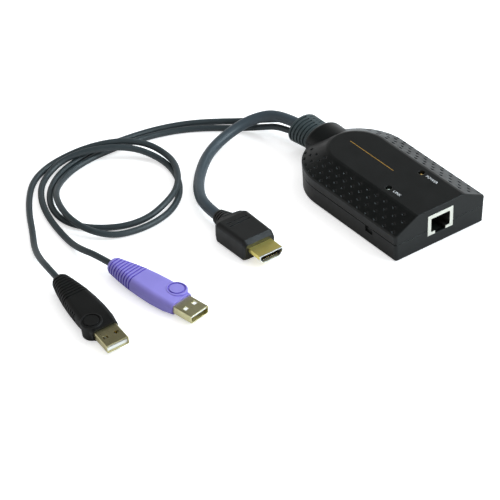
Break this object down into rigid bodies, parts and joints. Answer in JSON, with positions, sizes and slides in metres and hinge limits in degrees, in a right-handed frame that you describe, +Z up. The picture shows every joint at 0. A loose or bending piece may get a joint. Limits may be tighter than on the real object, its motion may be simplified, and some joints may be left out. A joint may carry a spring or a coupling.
{
  "type": "kvm dongle",
  "caption": "Adapter dongle for a KVM switch: a faceted plastic housing with a network socket, and HDMI and USB cords that leave its back through one ribbed boot.",
  "frame": {"origin": "on the surface the housing stands on, under the middle of the housing's length and width, neck included and cords left out", "axes": "+X points out of the network socket, +Z is up, +Y is to the left when looking along +X; the cords leave along -X"},
  "size_m": [0.1749, 0.2136, 0.0221],
  "materials": {
    "housing_black": "fine-textured black moulding",
    "housing_grey": "fine-textured dark grey moulding",
    "screw_steel": "zinc-plated, black recess",
    "board_green": "solder mask",
    "chip_black": "moulded chip package",
    "crystal_can": "drawn metal can",
    "capacitor_sleeve": "aluminium cans",
    "header_white": "natural nylon",
    "lead_jacket": "soft PVC",
    "led_amber": "diffused amber lens",
    "led_green": "diffused pale green lens",
    "socket_shield": "plated sheet",
    "socket_black": "black thermoplastic",
    "contact_gold": "gold flash",
    "boot_rubber": "soft PVC",
    "usb_cord_jacket": "soft PVC, satin",
    "hdmi_cord_jacket": "soft PVC, satin",
    "hdmi_grip": "soft PVC",
    "hdmi_gold": "gold flash",
    "hdmi_core": "black thermoplastic",
    "black_grip": "soft PVC",
    "usb_shell_nickel": "nickel plate",
    "black_tongue": "white thermoplastic",
    "purple_grip": "soft PVC",
    "purple_tongue": "white thermoplastic"
  },
  "bodies": {
    "root": {"upper_cover": "housing_black", "lower_cover": "housing_grey", "cover_screws": "screw_steel", "circuit_board": "board_green", "main_chip": "chip_black", "video_chip": "chip_black", "line_transformer": "chip_black", "crystal": "crystal_can", "capacitors": "capacitor_sleeve", "cable_headers": "header_white", "inner_leads": "lead_jacket", "led_power": "led_amber", "led_link": "led_green", "rj45_shield": "socket_shield", "rj45_insulator": "socket_black", "rj45_contacts": "contact_gold", "cable_boot": "boot_rubber", "black_usb_cord": "usb_cord_jacket", "purple_usb_cord": "usb_cord_jacket", "hdmi_cord": "hdmi_cord_jacket", "hdmi_overmold": "hdmi_grip", "hdmi_shell": "hdmi_gold", "hdmi_insulator": "hdmi_core", "hdmi_contacts": "contact_gold", "black_usb_overmold": "black_grip", "black_usb_shell": "usb_shell_nickel", "black_usb_tongue": "black_tongue", "black_usb_contacts": "contact_gold", "purple_usb_overmold": "purple_grip", "purple_usb_shell": "usb_shell_nickel", "purple_usb_tongue": "purple_tongue", "purple_usb_contacts": "contact_gold"}
  },
  "joints": []
}
